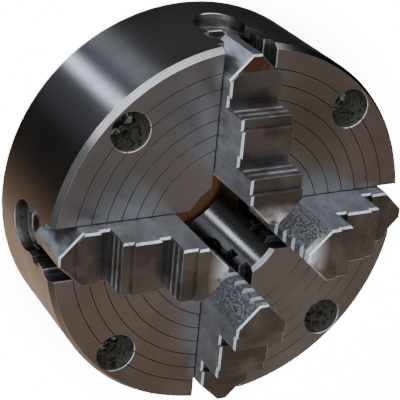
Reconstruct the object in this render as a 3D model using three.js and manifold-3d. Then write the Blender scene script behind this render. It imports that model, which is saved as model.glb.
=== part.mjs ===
// Four-jaw independent lathe chuck, lying on its back face.
// Frame: millimetres, +Z along the spindle axis out of the front face, origin at the
// centre of the back face, jaws on the +X, +Y, -X and -Y radii.
import * as THREE from 'three';
import { mergeVertices } from 'three/addons/utils/BufferGeometryUtils.js';
import Module from 'manifold-3d';

const wasm = await Module();
wasm.setup();

// ---------- driving dimensions (mm) ----------
const BODY_D = 250;               // outside diameter of the body
const BODY_H = 88;                // back face to front face
const BORE_D = 70;                // plain hole through the middle
const BORE_FRONT_CHAMFER = 2.5;
const BORE_BACK_CHAMFER = 3;
const RIM_CHAMFER_R = 2.6;        // front rim chamfer, measured in the face
const RIM_CHAMFER_Z = 4.6;        // the same chamfer, measured down the rim
const BACK_CHAMFER = 1.5;
const REGISTER_DEPTH = 5;         // spindle register recessed into the back
const REGISTER_TO_BOLTS = 13;     // from the register wall out to the bolt circle

const JAW_COUNT = 4;
const SLOT_W = 36;                // jaw slot, at the mouth and under the rails
const MOUTH_DEPTH = 10;           // face down to the rails
const RAIL_H = 10;
const RAIL_W = 4.5;               // how far each rail stands out of the slot wall
const UNDERCUT_H = 10;            // below the rails, down to the slot floor

const JAW_TIP_R = 28;             // jaw nose from the axis, in the stored pose
const NOSE_FLAT = 6;              // flat left on each pointed end
const LAND_DROP = 2;              // outer land of each step, below the step's main face
const GROOVE_DROP = 2.5;          // relief groove at the foot of each riser
const GROOVE_W = 6;
const TOP_STEP_L = 31;            // radial length of the top step, tip to riser
const MID_STEP_L = 31;
const LOW_STEP_L = 32;            // last riser out to the outer nose
const TOP_STEP_Z = 49.5;          // heights of the steps above the face
const MID_STEP_Z = 31;
const LOW_STEP_Z = 11;
const TOP_LAND_L = 9.5;           // land widths along the radius
const MID_LAND_L = 7;
const LOW_LAND_L = 11;
const NUT_DROP = 10;              // half nut below the jaw's lower flange
const NUT_END = 16;               // jaw nose to the end of the half nut

const SCREW_R = 15;               // crest of the jaw screw's thread
const THREAD_DEPTH = 3;
const LEAD = 8;                   // left-hand thread, one start
const FLANK_SLOPE = Math.tan(THREE.MathUtils.degToRad(15));
const THREAD_SIDES = 12;          // flats to a turn
const SCREW_INSET = 8;            // outer end, in from the rim
const SCREW_TO_BORE = 3;          // inner end, out from the bore
const NECK_R = 8;                 // thrust neck half-way along the screw
const NECK_L = 12;
const SCREW_CHAMFER = 1.5;
const SOCKET_W = 11;              // square key socket
const SOCKET_DEPTH = 13;
const POCKET_RIM = 0.8;           // screw pocket at the rim, wider than the screw bore
const POCKET_DEPTH = 9;

const BOLT_COUNT = 4;
const BOLT_EDGE = 17;             // bolt circle, in from the rim
const BOLT_D = 16;
const HEAD_D = 24;
const HEAD_H = 16;
const HEAD_SINK = 23;             // head top below the face
const HEX_AF = 14;
const HEX_DEPTH = 8;
const HEAD_CHAMFER = 1.2;
const BOLT_POINT_Z = 2;           // bolt point above the back face

const LOCK_SCREW_D = 6;
const LOCK_SCREW_L = 10;
const LOCK_HEX_AF = 3;
const LOCK_HEX_DEPTH = 3;

// ---------- clearances (mm) ----------
const SLIDE_GAP = 0.25;           // jaw to slot and rail, each side
const THREAD_PLAY = 0.5;          // thread flanks, each side
const THREAD_TOP_GAP = 0.7;       // crest to root, and screw crest to its bore
const NUT_GAP = 0.4;              // half nut to the channel it runs in
const SEAT_GAP = 0.3;             // between pieces that seat on each other
const HEAD_GAP = 1;               // bolt head in its counterbore
const SHANK_GAP = 0.75;

// ---------- sizes that follow ----------
const BODY_R = BODY_D / 2;
const BORE_R = BORE_D / 2;
const BOLT_CIRCLE_R = BODY_R - BOLT_EDGE;
const REGISTER_R = BOLT_CIRCLE_R - REGISTER_TO_BOLTS;
const RAIL_TOP_Z = BODY_H - MOUTH_DEPTH;
const RAIL_BOTTOM_Z = RAIL_TOP_Z - RAIL_H;
const SLOT_FLOOR_Z = RAIL_BOTTOM_Z - UNDERCUT_H;
const SCREW_Z = SLOT_FLOOR_Z - SCREW_R;
const SCREW_BORE_R = SCREW_R + THREAD_TOP_GAP;
const SCREW_CORE_R = SCREW_R - THREAD_DEPTH;
const SCREW_IN = BORE_R + SCREW_TO_BORE;
const SCREW_OUT = BODY_R - SCREW_INSET;
const NECK_X = (SCREW_IN + SCREW_OUT) / 2;
const NUT_W = 2 * (SCREW_R - 1);
const JAW_W = SLOT_W - 2 * SLIDE_GAP;
const JAW_OUT = JAW_TIP_R + TOP_STEP_L + MID_STEP_L + LOW_STEP_L;
const JAW_BASE_Z = SLOT_FLOOR_Z + SLIDE_GAP;
const BLOCK_R = SCREW_R;
const BEYOND = 5;                 // how far cutting tools run past what they cut

// ---------- materials ----------
function metal(name, color, roughness) {
  return new THREE.MeshStandardMaterial({ name, color, roughness, metalness: 1 });
}
const BODY_STEEL = metal('ground_cast_steel', 0x6d6a66, 0.35);
const JAW_STEEL = metal('hardened_jaw_steel', 0x7d7b78, 0.3);
const SCREW_STEEL = metal('oiled_screw_steel', 0x4f4b48, 0.45);
const BLOCK_STEEL = metal('thrust_block_steel', 0x5d5b58, 0.5);
const BLACK_STEEL = metal('black_oxide_steel', 0x26262a, 0.5);

// ---------- solids from three.js geometry ----------
function signedVolume(positions, index) {
  const corners = [new THREE.Vector3(), new THREE.Vector3(), new THREE.Vector3()];
  let volume = 0;
  for (let i = 0; i < index.length; i += 3) {
    corners.forEach((corner, k) => corner.fromArray(positions, 3 * index[i + k]));
    volume += corners[0].dot(corners[1].clone().cross(corners[2])) / 6;
  }
  return volume;
}

function solid(geometry) {
  geometry.deleteAttribute('normal');
  geometry.deleteAttribute('uv');
  const merged = mergeVertices(geometry, 1e-4);
  const positions = merged.attributes.position.array;
  const index = Array.from(merged.index.array);
  if (signedVolume(positions, index) < 0) index.reverse();
  return new wasm.Manifold(new wasm.Mesh({
    numProp: 3,
    vertProperties: new Float32Array(positions),
    triVerts: new Uint32Array(index),
  }));
}

function meshOf(manifold, name, material) {
  const result = manifold.getMesh();
  const geometry = new THREE.BufferGeometry();
  geometry.setAttribute('position', new THREE.BufferAttribute(result.vertProperties, 3));
  geometry.setIndex(new THREE.BufferAttribute(result.triVerts, 1));
  geometry.computeVertexNormals();
  const mesh = new THREE.Mesh(geometry, material);
  mesh.name = name;
  return mesh;
}

function union(pieces) {
  return pieces.reduce((whole, piece) => whole.add(piece));
}

// A block from its two corners.
function block(x0, x1, y0, y1, z0, z1) {
  const geometry = new THREE.BoxGeometry(x1 - x0, y1 - y0, z1 - z0);
  return solid(geometry.translate((x0 + x1) / 2, (y0 + y1) / 2, (z0 + z1) / 2));
}

// A round bar along Z, or with a few sides, a polygon with a flat facing +X.
function barZ(radius, x, y, z0, z1, sides) {
  const geometry = new THREE.CylinderGeometry(radius, radius, z1 - z0, sides);
  geometry.rotateX(Math.PI / 2).rotateZ(Math.PI / sides);
  return solid(geometry.translate(x, y, (z0 + z1) / 2));
}

// A round bar along X on the jaw screw's axis.
function barX(radius, x0, x1, sides) {
  const geometry = new THREE.CylinderGeometry(radius, radius, x1 - x0, sides);
  return solid(geometry.rotateZ(-Math.PI / 2).translate((x0 + x1) / 2, 0, SCREW_Z));
}

function turned(profile, sides) {
  const points = profile.map(([radius, height]) => new THREE.Vector2(radius, height));
  return solid(new THREE.LatheGeometry(points, sides).rotateX(Math.PI / 2));
}

function hexRadius(acrossFlats) {
  return acrossFlats / 2 / Math.cos(Math.PI / 6);
}

// ---------- the screw thread ----------
// Half the width of the thread's ridge at a radius: wide at the root, narrow at the crest.
function ridgeHalf(radius) {
  const pitchRadius = SCREW_R - THREAD_DEPTH / 2;
  return (LEAD / 2 - THREAD_PLAY) / 2 + (pitchRadius - radius) * FLANK_SLOPE;
}

// A left-hand ridge wound about the screw's axis: going out along +X it turns from +Z to +Y.
// A straight bar, its length counted in turns from the neck, is bent round the axis, so
// screw and half nut are always in step.
function ridge(rootRadius, crestRadius, extra, fromTurn, toTurn) {
  const section = new THREE.Shape([
    new THREE.Vector2(rootRadius, -ridgeHalf(rootRadius) - extra),
    new THREE.Vector2(crestRadius, -ridgeHalf(crestRadius) - extra),
    new THREE.Vector2(crestRadius, ridgeHalf(crestRadius) + extra),
    new THREE.Vector2(rootRadius, ridgeHalf(rootRadius) + extra),
  ]);
  const turns = toTurn - fromTurn;
  const bar = new THREE.ExtrudeGeometry(section, {
    depth: turns,
    steps: turns * THREAD_SIDES,
    bevelEnabled: false,
  });
  const position = bar.attributes.position;
  for (let i = 0; i < position.count; i += 1) {
    const radius = position.getX(i);
    const turn = fromTurn + position.getZ(i);
    const angle = 2 * Math.PI * turn;
    position.setXYZ(
      i,
      NECK_X + turn * LEAD + position.getY(i),
      radius * Math.sin(angle),
      SCREW_Z + radius * Math.cos(angle),
    );
  }
  return solid(bar);
}

function turnsTo(x) {
  const turns = (x - NECK_X) / LEAD;
  return turns < 0 ? Math.floor(turns) - 1 : Math.ceil(turns) + 1;
}

// ---------- body ----------
function bodyBlank() {
  const frontLip = [BORE_R + BORE_FRONT_CHAMFER, BODY_H];
  return turned([
    frontLip,
    [BODY_R - RIM_CHAMFER_R, BODY_H],
    [BODY_R, BODY_H - RIM_CHAMFER_Z],
    [BODY_R, BACK_CHAMFER],
    [BODY_R - BACK_CHAMFER, 0],
    [REGISTER_R, 0],
    [REGISTER_R, REGISTER_DEPTH],
    [BORE_R + BORE_BACK_CHAMFER, REGISTER_DEPTH],
    [BORE_R, REGISTER_DEPTH + BORE_BACK_CHAMFER],
    [BORE_R, BODY_H - BORE_FRONT_CHAMFER],
    frontLip,
  ], 60);
}

// Everything cut away along one jaw's radius.
function slotCut() {
  const wide = SLOT_W / 2;
  const between = wide - RAIL_W;
  const channel = NUT_W / 2 + NUT_GAP;
  const out = BODY_R + BEYOND;
  const lockHoleR = LOCK_SCREW_D / 2 + SEAT_GAP;
  return union([
    block(0, out, -wide, wide, RAIL_TOP_Z, BODY_H + BEYOND),
    block(0, out, -between, between, RAIL_BOTTOM_Z, RAIL_TOP_Z),
    block(0, out, -wide, wide, SLOT_FLOOR_Z, RAIL_BOTTOM_Z),
    block(0, out, -channel, channel, SCREW_Z, SLOT_FLOOR_Z),
    barX(SCREW_BORE_R, 0, out, 20),
    barX(SCREW_BORE_R + POCKET_RIM, BODY_R - POCKET_DEPTH, out, 20),
    barZ(BLOCK_R + SEAT_GAP, NECK_X, 0, -BEYOND, SCREW_Z, 20),
    barZ(lockHoleR, NECK_X, BLOCK_R, -BEYOND, lockScrewTop() + SEAT_GAP, 12),
  ]);
}

function boltHole() {
  const seatZ = BODY_H - HEAD_SINK - HEAD_H - SEAT_GAP;
  return union([
    barZ(HEAD_D / 2 + HEAD_GAP, 0, 0, seatZ, BODY_H + BEYOND, 24),
    barZ(BOLT_D / 2 + SHANK_GAP, 0, 0, -BEYOND, BODY_H, 16),
  ]);
}

function chuckBody() {
  let body = bodyBlank();
  const slot = slotCut();
  for (let i = 0; i < JAW_COUNT; i += 1) {
    body = body.subtract(slot.rotate([0, 0, i * 360 / JAW_COUNT]));
  }
  const hole = boltHole().translate([BOLT_CIRCLE_R, 0, 0]);
  for (let i = 0; i < BOLT_COUNT; i += 1) {
    body = body.subtract(hole.rotate([0, 0, (i + 0.5) * 360 / BOLT_COUNT]));
  }
  return body;
}

// ---------- jaw ----------
// Side view of the jaw from the nose outwards, radius and height.
function jawProfile() {
  const top = BODY_H + TOP_STEP_Z;
  const mid = BODY_H + MID_STEP_Z;
  const low = BODY_H + LOW_STEP_Z;
  const riser2 = JAW_TIP_R + TOP_STEP_L;
  const riser1 = riser2 + MID_STEP_L;
  const outline = [
    [JAW_TIP_R, JAW_BASE_Z],
    [JAW_TIP_R, top],
    [riser2 - TOP_LAND_L, top],
    [riser2 - TOP_LAND_L, top - LAND_DROP],
    [riser2, top - LAND_DROP],
    [riser2, mid - GROOVE_DROP],
    [riser2 + GROOVE_W, mid - GROOVE_DROP],
    [riser2 + GROOVE_W, mid],
    [riser1 - MID_LAND_L, mid],
    [riser1 - MID_LAND_L, mid - LAND_DROP],
    [riser1, mid - LAND_DROP],
    [riser1, low - GROOVE_DROP],
    [riser1 + GROOVE_W, low - GROOVE_DROP],
    [riser1 + GROOVE_W, low],
    [JAW_OUT - LOW_LAND_L, low],
    [JAW_OUT - LOW_LAND_L, low - LAND_DROP],
    [JAW_OUT, low - LAND_DROP],
    [JAW_OUT, JAW_BASE_Z],
  ];
  return new THREE.Shape(outline.map(([x, z]) => new THREE.Vector2(x, z)));
}

// Plan of the jaw: both ends run to a blunt right-angled point.
function jawPlan() {
  const half = JAW_W / 2;
  const nose = NOSE_FLAT / 2;
  const facet = half - nose;
  return new THREE.Shape([
    new THREE.Vector2(JAW_TIP_R, -nose),
    new THREE.Vector2(JAW_TIP_R + facet, -half),
    new THREE.Vector2(JAW_OUT - facet, -half),
    new THREE.Vector2(JAW_OUT, -nose),
    new THREE.Vector2(JAW_OUT, nose),
    new THREE.Vector2(JAW_OUT - facet, half),
    new THREE.Vector2(JAW_TIP_R + facet, half),
    new THREE.Vector2(JAW_TIP_R, nose),
  ]);
}

function jaw() {
  const side = new THREE.ExtrudeGeometry(jawProfile(), { depth: JAW_W, bevelEnabled: false });
  side.rotateX(Math.PI / 2).translate(0, JAW_W / 2, 0);
  const tall = BODY_H + TOP_STEP_Z - JAW_BASE_Z;
  const plan = new THREE.ExtrudeGeometry(jawPlan(), { depth: tall, bevelEnabled: false });
  plan.translate(0, 0, JAW_BASE_Z);
  const upper = solid(side).intersect(solid(plan));

  const nutIn = JAW_TIP_R + NUT_END;
  const nutOut = JAW_OUT - NUT_END;
  const nutBottom = SLOT_FLOOR_Z - NUT_DROP;
  const nut = block(nutIn, nutOut, -NUT_W / 2, NUT_W / 2, nutBottom, JAW_BASE_Z + SLIDE_GAP);

  const half = SLOT_W / 2;
  const web = half - RAIL_W - SLIDE_GAP;
  const grooveLow = RAIL_BOTTOM_Z - SLIDE_GAP;
  const grooveHigh = RAIL_TOP_Z + SLIDE_GAP;
  const leftGroove = block(0, JAW_OUT + BEYOND, web, half, grooveLow, grooveHigh);
  const rightGroove = block(0, JAW_OUT + BEYOND, -half, -web, grooveLow, grooveHigh);

  const nutCrestR = SCREW_CORE_R + THREAD_TOP_GAP;
  const clear = barX(nutCrestR, nutIn - BEYOND, nutOut + BEYOND, THREAD_SIDES);
  const thread = ridge(nutCrestR - 1, SCREW_BORE_R, THREAD_PLAY, turnsTo(nutIn), turnsTo(nutOut));
  return union([upper, nut]).subtract(union([leftGroove, rightGroove, clear])).subtract(thread);
}

// ---------- jaw screw ----------
// The room the thread is trimmed to: chamfered ends, and clear of the crest between them.
function screwEnvelope() {
  const length = SCREW_OUT - SCREW_IN;
  const chamfer = SCREW_CHAMFER + THREAD_TOP_GAP;
  const rod = turned([
    [0, 0],
    [SCREW_R - SCREW_CHAMFER, 0],
    [SCREW_BORE_R, chamfer],
    [SCREW_BORE_R, length - chamfer],
    [SCREW_R - SCREW_CHAMFER, length],
    [0, length],
  ], 24);
  return rod.rotate([0, 90, 0]).translate([SCREW_IN, 0, SCREW_Z]);
}

function jawScrew() {
  const core = barX(SCREW_CORE_R, SCREW_IN - 1, SCREW_OUT + 1, THREAD_SIDES);
  const thread = ridge(SCREW_CORE_R - 1, SCREW_R, 0, turnsTo(SCREW_IN), turnsTo(SCREW_OUT));
  const neckFrom = NECK_X - NECK_L / 2;
  const neckTo = NECK_X + NECK_L / 2;
  const neckWaste = barX(SCREW_R + 1, neckFrom, neckTo, 28)
    .subtract(barX(NECK_R, neckFrom - 1, neckTo + 1, 24));
  const half = SOCKET_W / 2;
  const socket = block(SCREW_OUT - SOCKET_DEPTH, SCREW_OUT + BEYOND, -half, half,
    SCREW_Z - half, SCREW_Z + half);
  return core.add(thread).intersect(screwEnvelope()).subtract(neckWaste).subtract(socket);
}

// ---------- thrust block and its locking screw ----------
// A round plug fitted from the back: a saddle under the screw, and a rib in its neck.
function thrustBlock() {
  const bottom = REGISTER_DEPTH + SEAT_GAP;
  const ribHalf = NECK_L / 2 - SEAT_GAP;
  const plug = barZ(BLOCK_R, NECK_X, 0, bottom, SCREW_Z - SEAT_GAP, 24);
  const screwRoom = union([
    barX(SCREW_BORE_R, NECK_X - BLOCK_R - BEYOND, NECK_X - ribHalf, 28),
    barX(NECK_R + SEAT_GAP, NECK_X - BLOCK_R, NECK_X + BLOCK_R, 24),
    barX(SCREW_BORE_R, NECK_X + ribHalf, NECK_X + BLOCK_R + BEYOND, 28),
  ]);
  const lockHoleR = LOCK_SCREW_D / 2 + SEAT_GAP;
  const lockHole = barZ(lockHoleR, NECK_X, BLOCK_R, 0, lockScrewTop() + SEAT_GAP, 12);
  return plug.subtract(screwRoom).subtract(lockHole);
}

function lockScrewTop() {
  return REGISTER_DEPTH + SEAT_GAP + LOCK_SCREW_L;
}

// Half in the plug and half in the body, so the plug can't turn or drop out.
function lockScrew() {
  const bottom = REGISTER_DEPTH + SEAT_GAP;
  const pin = barZ(LOCK_SCREW_D / 2, NECK_X, BLOCK_R, bottom, lockScrewTop(), 12);
  const hex = barZ(hexRadius(LOCK_HEX_AF), NECK_X, BLOCK_R, 0, bottom + LOCK_HEX_DEPTH, 6);
  return pin.subtract(hex);
}

// ---------- mounting bolt ----------
function mountingBolt() {
  const top = BODY_H - HEAD_SINK;
  const seat = top - HEAD_H;
  const bolt = turned([
    [0, BOLT_POINT_Z],
    [BOLT_D / 2 - HEAD_CHAMFER, BOLT_POINT_Z],
    [BOLT_D / 2, BOLT_POINT_Z + HEAD_CHAMFER],
    [BOLT_D / 2, seat],
    [HEAD_D / 2, seat],
    [HEAD_D / 2, top - HEAD_CHAMFER],
    [HEAD_D / 2 - HEAD_CHAMFER, top],
    [0, top],
  ], 24);
  return bolt.subtract(barZ(hexRadius(HEX_AF), 0, 0, top - HEX_DEPTH, top + BEYOND, 6));
}

// ---------- assembly ----------
const chuck = new THREE.Group();
chuck.name = 'lathe_chuck';
chuck.add(meshOf(chuckBody(), 'chuck_body', BODY_STEEL));

const slidingJaw = jaw();
const screw = jawScrew();
const plug = thrustBlock();
const pin = lockScrew();
for (let i = 0; i < JAW_COUNT; i += 1) {
  const station = new THREE.Group();
  station.rotation.z = i * 2 * Math.PI / JAW_COUNT;
  station.add(meshOf(slidingJaw, `jaw_${i + 1}`, JAW_STEEL));
  station.add(meshOf(screw, `jaw_screw_${i + 1}`, SCREW_STEEL));
  station.add(meshOf(plug, `thrust_block_${i + 1}`, BLOCK_STEEL));
  station.add(meshOf(pin, `block_lock_screw_${i + 1}`, BLACK_STEEL));
  chuck.add(station);
}

const bolt = mountingBolt();
for (let i = 0; i < BOLT_COUNT; i += 1) {
  const station = new THREE.Group();
  station.rotation.z = (i + 0.5) * 2 * Math.PI / BOLT_COUNT;
  const mesh = meshOf(bolt, `mounting_bolt_${i + 1}`, BLACK_STEEL);
  mesh.position.x = BOLT_CIRCLE_R;
  station.add(mesh);
  chuck.add(station);
}

export default chuck;
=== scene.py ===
import math

import bmesh
import bpy
import numpy as np
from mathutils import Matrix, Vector


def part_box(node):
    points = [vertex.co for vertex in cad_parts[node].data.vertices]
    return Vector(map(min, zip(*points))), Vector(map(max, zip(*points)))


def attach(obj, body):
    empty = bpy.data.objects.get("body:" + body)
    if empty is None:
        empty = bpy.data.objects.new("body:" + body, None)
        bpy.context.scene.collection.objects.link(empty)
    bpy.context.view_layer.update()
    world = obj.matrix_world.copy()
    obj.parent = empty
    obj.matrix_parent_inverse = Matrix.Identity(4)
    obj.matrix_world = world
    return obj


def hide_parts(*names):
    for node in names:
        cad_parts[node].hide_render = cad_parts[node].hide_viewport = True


bl_info = {
    "name": "Four-Jaw Lathe Chuck",
    "version": (1, 0, 0),
    "blender": (4, 5, 0),
    "location": "3D View > Sidebar > Chuck",
    "description": "Builds the visible surfaces, finishes and studio of a four-jaw lathe chuck",
    "category": "Object",
}

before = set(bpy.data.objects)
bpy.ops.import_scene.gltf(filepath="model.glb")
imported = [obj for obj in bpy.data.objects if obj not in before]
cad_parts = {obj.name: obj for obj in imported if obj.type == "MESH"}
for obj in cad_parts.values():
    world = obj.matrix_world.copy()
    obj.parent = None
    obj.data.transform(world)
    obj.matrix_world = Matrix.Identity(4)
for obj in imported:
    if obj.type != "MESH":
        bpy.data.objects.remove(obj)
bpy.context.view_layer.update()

# ---------- sizes read from the frame (metres) ----------
MM = 0.001
BODY_LOW, BODY_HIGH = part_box("chuck_body")
BODY_R = BODY_HIGH.x
FACE_Z = BODY_HIGH.z
JAW_LOW, JAW_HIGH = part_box("jaw_1")
SCREW_LOW, SCREW_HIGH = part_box("jaw_screw_1")
SCREW_Z = (SCREW_LOW.z + SCREW_HIGH.z) / 2
SCREW_R = (SCREW_HIGH.z - SCREW_LOW.z) / 2
NECK_X = (SCREW_LOW.x + SCREW_HIGH.x) / 2
PLUG_LOW, PLUG_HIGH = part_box("thrust_block_1")
PLUG_R = (PLUG_HIGH.y - PLUG_LOW.y) / 2
PIN_LOW, PIN_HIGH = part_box("block_lock_screw_1")
PIN_R = (PIN_HIGH.x - PIN_LOW.x) / 2
PIN_PLACE = ((PIN_LOW.x + PIN_HIGH.x) / 2, (PIN_LOW.y + PIN_HIGH.y) / 2, 0)
BOLT_LOW, BOLT_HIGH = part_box("mounting_bolt_1")
HEAD_R = (BOLT_HIGH.x - BOLT_LOW.x) / 2
BOLT_PLACE = (math.hypot((BOLT_LOW.x + BOLT_HIGH.x) / 2, (BOLT_LOW.y + BOLT_HIGH.y) / 2), 0, 0)
RUSTY_LAND = (0, JAW_HIGH.x - 4 * MM, FACE_Z + 9 * MM)  # the outer land of jaw 2

STATIONS = 4                      # jaws, and bolts between them
OVER = 5 * MM                     # how far a cutting shape runs past what it cuts
PLAY = 0.3 * MM                   # room left round a piece in its seat


def srgb(code):
    """A #rrggbb colour as linear red, green, blue and alpha."""
    parts = [int(code[i:i + 2], 16) / 255 for i in (1, 3, 5)]
    linear = [p / 12.92 if p <= 0.04045 else ((p + 0.055) / 1.055) ** 2.4 for p in parts]
    return (*linear, 1.0)


# ---------- what a user would change ----------
def length(name, millimetres, description):
    return bpy.props.FloatProperty(
        name=name, default=millimetres * MM, description=description, unit="LENGTH", precision=5
    )


def shade(name, code, description):
    return bpy.props.FloatVectorProperty(
        name=name, default=srgb(code), description=description, subtype="COLOR", size=4,
        min=0.0, max=1.0,
    )


class ChuckBodySettings(bpy.types.PropertyGroup):
    """Sizes of the body's turned, milled and bored surfaces."""

    bore_radius: length("Bore radius", 35, "Plain hole through the middle")
    bore_front_chamfer: length("Front bore chamfer", 2.5, "Bevel at the mouth of the bore")
    bore_back_chamfer: length("Back bore chamfer", 3, "Bevel at the back of the bore")
    rim_chamfer_face: length("Rim chamfer in the face", 2.6, "Rim bevel measured in the face")
    rim_chamfer_side: length("Rim chamfer down the rim", 4.6, "Rim bevel measured down the rim")
    back_chamfer: length("Back chamfer", 1.5, "Bevel round the back face")
    register_radius: length("Register radius", 95, "Spindle register recessed in the back")
    register_depth: length("Register depth", 5, "Depth of the spindle register")
    ring_count: bpy.props.IntProperty(
        name="Rings", default=6, description="Centring rings turned in the face"
    )
    ring_outer: length("Outermost ring", 110, "Radius of the outermost centring ring")
    ring_pitch: length("Ring pitch", 9.8, "Radius step from ring to ring")
    ring_width: length("Ring width", 0.6, "Width of each ring groove")
    ring_depth: length("Ring depth", 0.5, "Depth of each ring groove")
    slot_half: length("Slot half width", 18, "Jaw slot at its mouth and under the rails")
    mouth_depth: length("Mouth depth", 10, "Face down to the guide rails")
    rail_height: length("Rail height", 10, "Height of each guide rail")
    rail_width: length("Rail width", 4.5, "How far a rail stands out of the slot wall")
    undercut_height: length("Undercut height", 10, "Rails down to the slot floor")
    channel_half: length("Channel half width", 14.4, "Channel that the half nut runs in")
    screw_bore: length("Screw bore radius", 15.7, "Bore that the jaw screw turns in")
    pocket_radius: length("Pocket radius", 16.5, "Pocket at the rim round the screw end")
    pocket_depth: length("Pocket depth", 9, "Depth of that pocket")
    edge_break: length("Edge break", 0.45, "Bevel left on milled edges")
    well_radius: length("Bolt well radius", 13, "Counterbore over a bolt head")
    shank_radius: length("Bolt hole radius", 8.75, "Clearance hole for a bolt")


class ChuckJawSettings(bpy.types.PropertyGroup):
    """Sizes of the stepped jaws."""

    nose_flat: length("Nose flat", 6, "Flat left on each pointed end")
    top_length: length("Top step", 31, "Nose to the inner riser")
    middle_length: length("Middle step", 31, "Inner riser to the outer riser")
    middle_height: length("Middle height", 31, "Middle step above the face")
    low_height: length("Low height", 11, "Low step above the face")
    top_land: length("Top land", 9.5, "Lower land in front of the top step's face")
    middle_land: length("Middle land", 7, "Lower land in front of the middle face")
    low_land: length("Low land", 11, "Lower land at the outer nose")
    land_drop: length("Land drop", 2, "Drop from a step's face to its land")
    groove_drop: length("Groove drop", 2.5, "Relief groove at the foot of a riser")
    groove_width: length("Groove width", 6, "Width of that groove")
    side_bevel: length("Side bevel", 1.2, "Bevel along the sides of the steps")
    tooth_pitch: length("Tooth pitch", 6.5, "Spacing of the gripping grooves on a riser")
    tooth_depth: length("Tooth depth", 0.9, "Depth of those grooves")
    nose_tooth_pitch: length("Nose tooth pitch", 11, "Spacing of the grooves on the nose")
    nose_tooth_depth: length("Nose tooth depth", 1.8, "Depth of those grooves")
    slide_gap: length("Slide gap", 0.25, "Jaw to slot and rail, each side")
    nut_half: length("Half nut half width", 14, "Half width of the half nut")
    nut_drop: length("Half nut drop", 10, "How far the half nut hangs below the slot floor")
    nut_end: length("Half nut end", 16, "Nose to the end of the half nut")


class ChuckScrewSettings(bpy.types.PropertyGroup):
    """Sizes of the jaw screws, bolts and thrust blocks."""

    lead: length("Lead", 8, "Advance of the left-hand thread in one turn")
    thread_depth: length("Thread depth", 3, "Crest to root")
    thread_play: length("Thread play", 0.5, "Play on each flank")
    neck_radius: length("Neck radius", 8, "Thrust neck half-way along")
    neck_length: length("Neck length", 12, "Length of the thrust neck")
    end_chamfer: length("End chamfer", 1.5, "Bevel at the screw's ends")
    socket_half: length("Socket half width", 5.5, "Square key socket")
    socket_depth: length("Socket depth", 13, "Depth of the key socket")
    hex_apothem: length("Hex apothem", 7, "Half the bolt's hexagon across its flats")
    hex_depth: length("Hex depth", 8, "Depth of the bolt's hexagon")
    head_height: length("Head height", 16, "Height of the bolt head")
    bolt_radius: length("Bolt radius", 8, "Shank of the bolt")
    pin_hex_apothem: length("Lock screw hex", 1.5, "Half the lock screw's hexagon")


class ChuckFinishSettings(bpy.types.PropertyGroup):
    """Colours of the clean metals, under their dirt, wear, painted highlights and painted shade."""

    body_steel: shade("Body steel", "#999694", "Turned face and rim")
    jaw_steel: shade("Jaw steel", "#a3a3a3", "Ground jaws")
    screw_steel: shade("Screw steel", "#8d8984", "Jaw screws")
    block_steel: shade("Block steel", "#86837f", "Thrust blocks")
    black_oxide: shade("Black oxide", "#3b3a3a", "Mounting bolts and lock screws")


# ---------- meshes from numpy grids ----------
def angles(columns):
    """Even steps once round a circle."""
    return np.linspace(0, 2 * np.pi, columns, endpoint=False)


def mesh_object(name, points, faces):
    """A mesh from points and faces, its doubles merged and its faces turned outwards."""
    mesh = bpy.data.meshes.new(name)
    mesh.from_pydata(points.reshape(-1, 3).tolist(), [], faces)
    mesh.validate()
    outward = bmesh.new()
    outward.from_mesh(mesh)
    bmesh.ops.remove_doubles(outward, verts=outward.verts, dist=1e-7)
    bmesh.ops.recalc_face_normals(outward, faces=outward.faces)
    outward.to_mesh(mesh)
    outward.free()
    piece = bpy.data.objects.new(name, mesh)
    bpy.context.scene.collection.objects.link(piece)
    return piece


def grid_object(name, grid, ring=False):
    """Joins the rows of a (rows, columns, 3) grid with quads. Columns wrap round. With ring the
    last row joins the first; otherwise the first and last rows are closed by a flat face."""
    rows, columns, _ = grid.shape
    index = np.arange(rows * columns).reshape(rows, columns)
    beside = np.roll(index, -1, axis=1)
    joints = rows if ring else rows - 1
    below, below_beside = np.roll(index, -1, axis=0), np.roll(beside, -1, axis=0)
    corners = [index, beside, below_beside, below]
    quads = np.stack([corner[:joints] for corner in corners], axis=-1).reshape(-1, 4).tolist()
    ends = [] if ring else [index[0][::-1].tolist(), index[-1].tolist()]
    return mesh_object(name, grid, quads + ends)


def upright_grid(radius, height, angle):
    """Points round the Z axis from radii, heights and angles."""
    radius, height, angle = np.broadcast_arrays(radius, height, angle)
    return np.stack([radius * np.cos(angle), radius * np.sin(angle), height], axis=-1)


def rod_grid(along, radius, angle):
    """Points round the jaw screw's axis, which lies along X, from distances, radii and angles."""
    along, radius, angle = np.broadcast_arrays(along, radius, angle)
    return np.stack([along, radius * np.sin(angle), SCREW_Z + radius * np.cos(angle)], axis=-1)


def turned(name, profile, columns, ring=False):
    """Sweeps a (radius, height) profile round the Z axis."""
    radius, height = np.hsplit(np.asarray(profile, float), 2)
    return grid_object(name, upright_grid(radius, height, angles(columns)), ring)


def rod_x(name, profile, columns):
    """Sweeps a (radius, distance) profile round the jaw screw's axis."""
    radius, along = np.hsplit(np.asarray(profile, float), 2)
    return grid_object(name, rod_grid(along, radius, angles(columns)))


def prism(name, outline, near, far, axis):
    """Carries a closed outline straight along axis 0, 1 or 2 between two distances."""
    outline = np.asarray(outline, float)
    rows = np.stack([np.insert(outline, axis, distance, axis=1) for distance in (near, far)])
    return grid_object(name, rows)


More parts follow.
